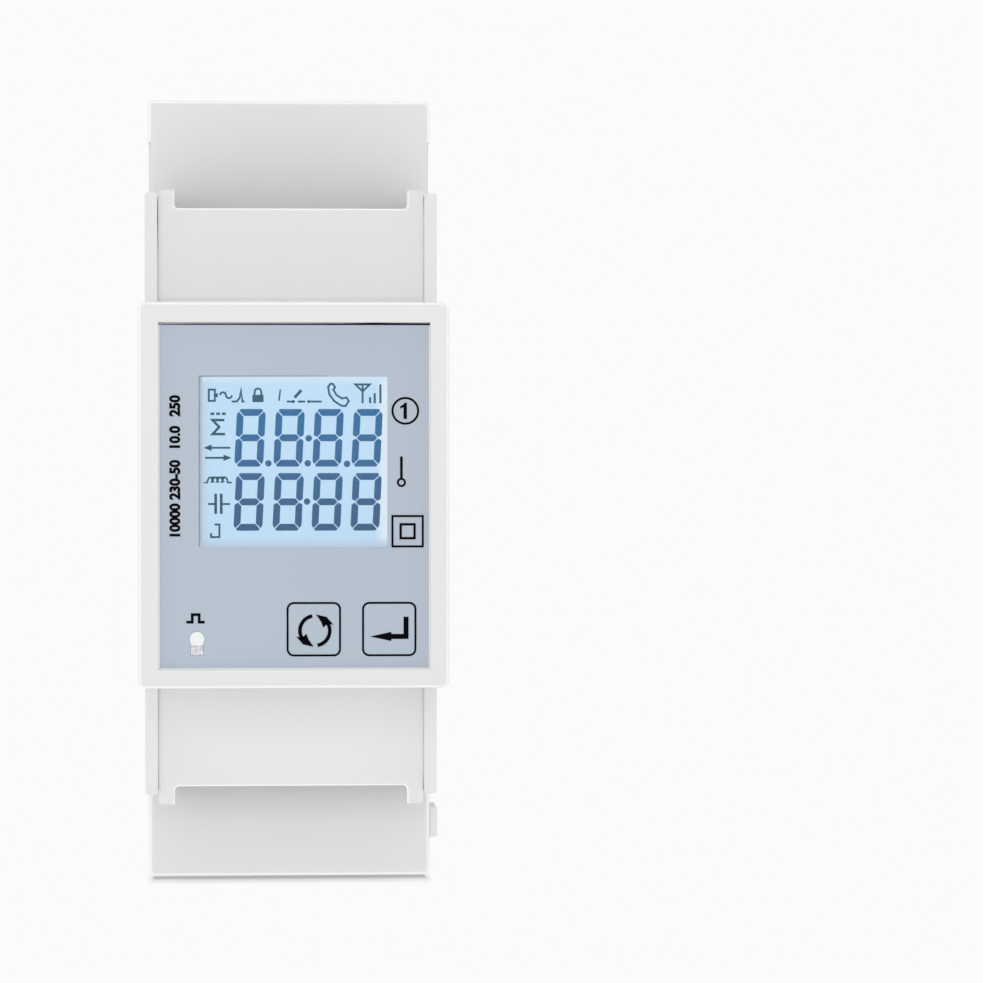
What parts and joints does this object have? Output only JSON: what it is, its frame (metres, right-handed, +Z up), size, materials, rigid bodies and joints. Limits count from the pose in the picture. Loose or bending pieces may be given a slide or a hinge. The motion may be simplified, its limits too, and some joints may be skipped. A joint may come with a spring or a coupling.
{
  "type": "din rail energy meter",
  "caption": "Two-module rail-mounted energy meter with a lit display, touch keys, hinged terminal covers and a sprung rail latch.",
  "frame": {"origin": "centre of the width, on the rail's centre line, in the plane of the rail's front face", "axes": "+X to the right seen from the front, -Y out of the front, +Z up"},
  "size_m": [0.0367, 0.0655, 0.0976],
  "materials": {
    "white_housing": "fine satin",
    "white_cover": "fine satin",
    "panel_print": "printed film, satin",
    "clear_window": "clear",
    "lcd": "lit display face",
    "diffuser": "milky",
    "white_part": "moulded",
    "key_print": "printed film, satin",
    "green_board": "solder mask",
    "tinned_metal": "tinned",
    "zinc_steel": "zinc plated",
    "brass": "plain",
    "black_plastic": "moulded",
    "dark_block": "moulded",
    "grey_plastic": "moulded",
    "blue_coat": "dipped coat",
    "yellow_case": "moulded case",
    "core_steel": "varnished laminations",
    "spring_steel": "drawn wire",
    "beige_coat": "lacquer"
  },
  "bodies": {
    "housing": {"rear_base": "white_housing", "front_case": "white_housing", "front_bezel": "white_housing", "front_panel": "panel_print", "display_window": "clear_window", "lcd_glass": "lcd", "lcd_frame": "white_part", "lcd_light_guide": "diffuser", "lcd_pins": "tinned_metal", "display_board": "green_board", "tact_switches": "black_plastic", "pulse_led": "diffuser", "pulse_light_pipe": "diffuser", "main_board": "green_board", "board_header": "black_plastic", "power_transformer": "core_steel", "electrolytic_capacitors": "black_plastic", "line_capacitor": "yellow_case", "varistor": "blue_coat", "fuse_resistor": "beige_coat", "metering_chips": "black_plastic", "optocouplers": "white_part", "radio_module": "tinned_metal", "backup_cell": "zinc_steel", "terminal_block_top": "dark_block", "terminal_block_bottom": "dark_block", "terminal_bars_top": "brass", "terminal_bars_bottom": "brass", "latch_spring": "spring_steel", "seal_tab": "grey_plastic"},
    "cover_top": {"cover_top": "white_cover"},
    "cover_bottom": {"cover_bottom": "white_cover"},
    "key_cycle": {"key_cycle": "key_print", "plunger_cycle": "black_plastic"},
    "key_enter": {"key_enter": "key_print", "plunger_enter": "black_plastic"},
    "din_latch": {"din_latch": "grey_plastic"},
    "screw_top_1": {"screw_top_1": "zinc_steel"},
    "cage_top_1": {"cage_top_1": "zinc_steel"},
    "screw_top_2": {"screw_top_2": "zinc_steel"},
    "cage_top_2": {"cage_top_2": "zinc_steel"},
    "screw_top_3": {"screw_top_3": "zinc_steel"},
    "cage_top_3": {"cage_top_3": "zinc_steel"},
    "screw_top_4": {"screw_top_4": "zinc_steel"},
    "cage_top_4": {"cage_top_4": "zinc_steel"},
    "screw_bottom_1": {"screw_bottom_1": "zinc_steel"},
    "cage_bottom_1": {"cage_bottom_1": "zinc_steel"},
    "screw_bottom_2": {"screw_bottom_2": "zinc_steel"},
    "cage_bottom_2": {"cage_bottom_2": "zinc_steel"},
    "screw_bottom_3": {"screw_bottom_3": "zinc_steel"},
    "cage_bottom_3": {"cage_bottom_3": "zinc_steel"},
    "screw_bottom_4": {"screw_bottom_4": "zinc_steel"},
    "cage_bottom_4": {"cage_bottom_4": "zinc_steel"}
  },
  "joints": [
    {"name": "cover_top_hinge", "type": "hinge", "parent": "housing", "child": "cover_top", "pos_m": [0, -0.0376, 0.0242], "axis": [1, 0, 0], "range_deg": [0, 90]},
    {"name": "cover_bottom_hinge", "type": "hinge", "parent": "housing", "child": "cover_bottom", "pos_m": [0, -0.0376, -0.0242], "axis": [-1, 0, 0], "range_deg": [0, 90]},
    {"name": "key_cycle_press", "type": "slide", "parent": "housing", "child": "key_cycle", "axis": [0, 1, 0], "range_m": [0, 0.00035], "stiffness_N_per_m": 2500, "springref_m": -0.0002},
    {"name": "key_enter_press", "type": "slide", "parent": "housing", "child": "key_enter", "axis": [0, 1, 0], "range_m": [0, 0.00035], "stiffness_N_per_m": 2500, "springref_m": -0.0002},
    {"name": "din_latch_slide", "type": "slide", "parent": "housing", "child": "din_latch", "axis": [0, 0, -1], "range_m": [0, 0.0035], "stiffness_N_per_m": 700, "springref_m": -0.003, "deforming": ["latch_spring"]},
    {"name": "screw_top_1_turn", "type": "hinge", "parent": "housing", "child": "screw_top_1", "pos_m": [-0.0108, -0.0369, 0.0288], "axis": [0, 1, 0], "range_deg": [0, 1585]},
    {"name": "cage_top_1_rise", "type": "slide", "parent": "housing", "child": "cage_top_1", "axis": [0, -1, 0], "range_m": [0, 0.0022]},
    {"name": "screw_top_2_turn", "type": "hinge", "parent": "housing", "child": "screw_top_2", "pos_m": [-0.0036, -0.0369, 0.0288], "axis": [0, 1, 0], "range_deg": [0, 1585]},
    {"name": "cage_top_2_rise", "type": "slide", "parent": "housing", "child": "cage_top_2", "axis": [0, -1, 0], "range_m": [0, 0.0022]},
    {"name": "screw_top_3_turn", "type": "hinge", "parent": "housing", "child": "screw_top_3", "pos_m": [0.0036, -0.0369, 0.0288], "axis": [0, 1, 0], "range_deg": [0, 1585]},
    {"name": "cage_top_3_rise", "type": "slide", "parent": "housing", "child": "cage_top_3", "axis": [0, -1, 0], "range_m": [0, 0.0022]},
    {"name": "screw_top_4_turn", "type": "hinge", "parent": "housing", "child": "screw_top_4", "pos_m": [0.0108, -0.0369, 0.0288], "axis": [0, 1, 0], "range_deg": [0, 1585]},
    {"name": "cage_top_4_rise", "type": "slide", "parent": "housing", "child": "cage_top_4", "axis": [0, -1, 0], "range_m": [0, 0.0022]},
    {"name": "screw_bottom_1_turn", "type": "hinge", "parent": "housing", "child": "screw_bottom_1", "pos_m": [-0.0108, -0.0369, -0.0288], "axis": [0, 1, 0], "range_deg": [0, 1585]},
    {"name": "cage_bottom_1_rise", "type": "slide", "parent": "housing", "child": "cage_bottom_1", "axis": [0, -1, 0], "range_m": [0, 0.0022]},
    {"name": "screw_bottom_2_turn", "type": "hinge", "parent": "housing", "child": "screw_bottom_2", "pos_m": [-0.0036, -0.0369, -0.0288], "axis": [0, 1, 0], "range_deg": [0, 1585]},
    {"name": "cage_bottom_2_rise", "type": "slide", "parent": "housing", "child": "cage_bottom_2", "axis": [0, -1, 0], "range_m": [0, 0.0022]},
    {"name": "screw_bottom_3_turn", "type": "hinge", "parent": "housing", "child": "screw_bottom_3", "pos_m": [0.0036, -0.0369, -0.0288], "axis": [0, 1, 0], "range_deg": [0, 1585]},
    {"name": "cage_bottom_3_rise", "type": "slide", "parent": "housing", "child": "cage_bottom_3", "axis": [0, -1, 0], "range_m": [0, 0.0022]},
    {"name": "screw_bottom_4_turn", "type": "hinge", "parent": "housing", "child": "screw_bottom_4", "pos_m": [0.0108, -0.0369, -0.0288], "axis": [0, 1, 0], "range_deg": [0, 1585]},
    {"name": "cage_bottom_4_rise", "type": "slide", "parent": "housing", "child": "cage_bottom_4", "axis": [0, -1, 0], "range_m": [0, 0.0022]}
  ],
  "couplings": [
    {"joint": "screw_top_1_turn", "follows": "cage_top_1_rise", "rad_per_m": 12566},
    {"joint": "screw_top_2_turn", "follows": "cage_top_2_rise", "rad_per_m": 12566},
    {"joint": "screw_top_3_turn", "follows": "cage_top_3_rise", "rad_per_m": 12566},
    {"joint": "screw_top_4_turn", "follows": "cage_top_4_rise", "rad_per_m": 12566},
    {"joint": "screw_bottom_1_turn", "follows": "cage_bottom_1_rise", "rad_per_m": 12566},
    {"joint": "screw_bottom_2_turn", "follows": "cage_bottom_2_rise", "rad_per_m": 12566},
    {"joint": "screw_bottom_3_turn", "follows": "cage_bottom_3_rise", "rad_per_m": 12566},
    {"joint": "screw_bottom_4_turn", "follows": "cage_bottom_4_rise", "rad_per_m": 12566}
  ]
}
